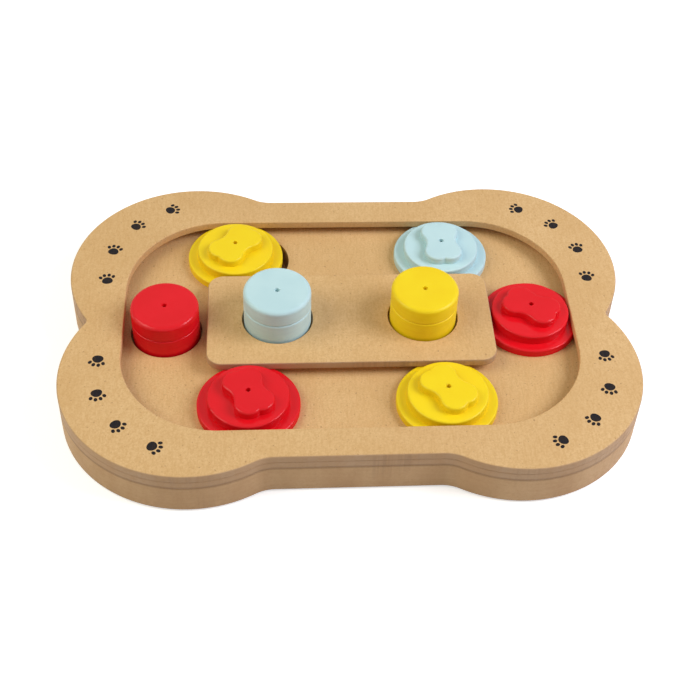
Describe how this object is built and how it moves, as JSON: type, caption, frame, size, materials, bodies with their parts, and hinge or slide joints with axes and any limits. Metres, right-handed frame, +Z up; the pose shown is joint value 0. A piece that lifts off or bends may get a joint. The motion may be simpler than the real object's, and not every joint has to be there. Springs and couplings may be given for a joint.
{
  "type": "dog puzzle feeder toy",
  "caption": "Bone-shaped wooden feeder board with a loop track of captive sliding covers and lift-out pegs over hidden treat pockets.",
  "frame": {"origin": "middle of the board on the surface its feet stand on", "axes": "+X along the bone towards the right lobes, +Y towards the far side of the picture, +Z up"},
  "size_m": [0.31, 0.2164, 0.049],
  "materials": {
    "wood_board": "bare fibreboard, satin",
    "paint_red": "gloss paint on fibreboard",
    "paint_yellow": "satin paint on fibreboard",
    "paint_blue": "satin paint on fibreboard",
    "rubber_foot": "matt rubber"
  },
  "bodies": {
    "board": {"base_board": "wood_board", "spacer_ring": "wood_board", "spacer_island": "wood_board", "rim_ring": "wood_board", "island_plate": "wood_board", "foot_far_left": "rubber_foot", "foot_far_right": "rubber_foot", "foot_near_left": "rubber_foot", "foot_near_right": "rubber_foot"},
    "slider_far_left": {"slider_far_left_flange": "paint_yellow", "slider_far_left_guide": "paint_yellow", "slider_far_left_knob": "paint_yellow"},
    "slider_far_right": {"slider_far_right_flange": "paint_blue", "slider_far_right_guide": "paint_blue", "slider_far_right_knob": "paint_blue"},
    "slider_right": {"slider_right_flange": "paint_red", "slider_right_guide": "paint_red", "slider_right_knob": "paint_red"},
    "slider_near_right": {"slider_near_right_flange": "paint_yellow", "slider_near_right_guide": "paint_yellow", "slider_near_right_knob": "paint_yellow"},
    "slider_near_left": {"slider_near_left_flange": "paint_red", "slider_near_left_guide": "paint_red", "slider_near_left_knob": "paint_red"},
    "peg_island_left": {"peg_island_left_lower": "paint_blue", "peg_island_left_upper": "paint_blue"},
    "peg_island_right": {"peg_island_right_lower": "paint_yellow", "peg_island_right_upper": "paint_yellow"},
    "peg_track": {"peg_track_lower": "paint_red", "peg_track_upper": "paint_red"}
  },
  "joints": [
    {"name": "slider_far_left_slide", "type": "slide", "parent": "board", "child": "slider_far_left", "axis": [1, 0, 0], "range_m": [-0.0096, 0.0359]},
    {"name": "slider_far_right_slide", "type": "slide", "parent": "board", "child": "slider_far_right", "axis": [1, 0, 0], "range_m": [-0.028, 0.0065]},
    {"name": "slider_right_slide", "type": "slide", "parent": "board", "child": "slider_right", "axis": [0, 1, 0], "range_m": [-0.0203, 0.0137]},
    {"name": "slider_near_right_slide", "type": "slide", "parent": "board", "child": "slider_near_right", "axis": [1, 0, 0], "range_m": [-0.0209, 0.0136]},
    {"name": "slider_near_left_slide", "type": "slide", "parent": "board", "child": "slider_near_left", "axis": [1, 0, 0], "range_m": [-0.0173, 0.0282]},
    {"name": "peg_island_left_lift", "type": "slide", "parent": "board", "child": "peg_island_left", "axis": [0, 0, 1], "range_m": [0, 0.05]},
    {"name": "peg_island_right_lift", "type": "slide", "parent": "board", "child": "peg_island_right", "axis": [0, 0, 1], "range_m": [0, 0.05]},
    {"name": "peg_track_lift", "type": "slide", "parent": "board", "child": "peg_track", "axis": [0, 0, 1], "range_m": [0, 0.05]}
  ]
}
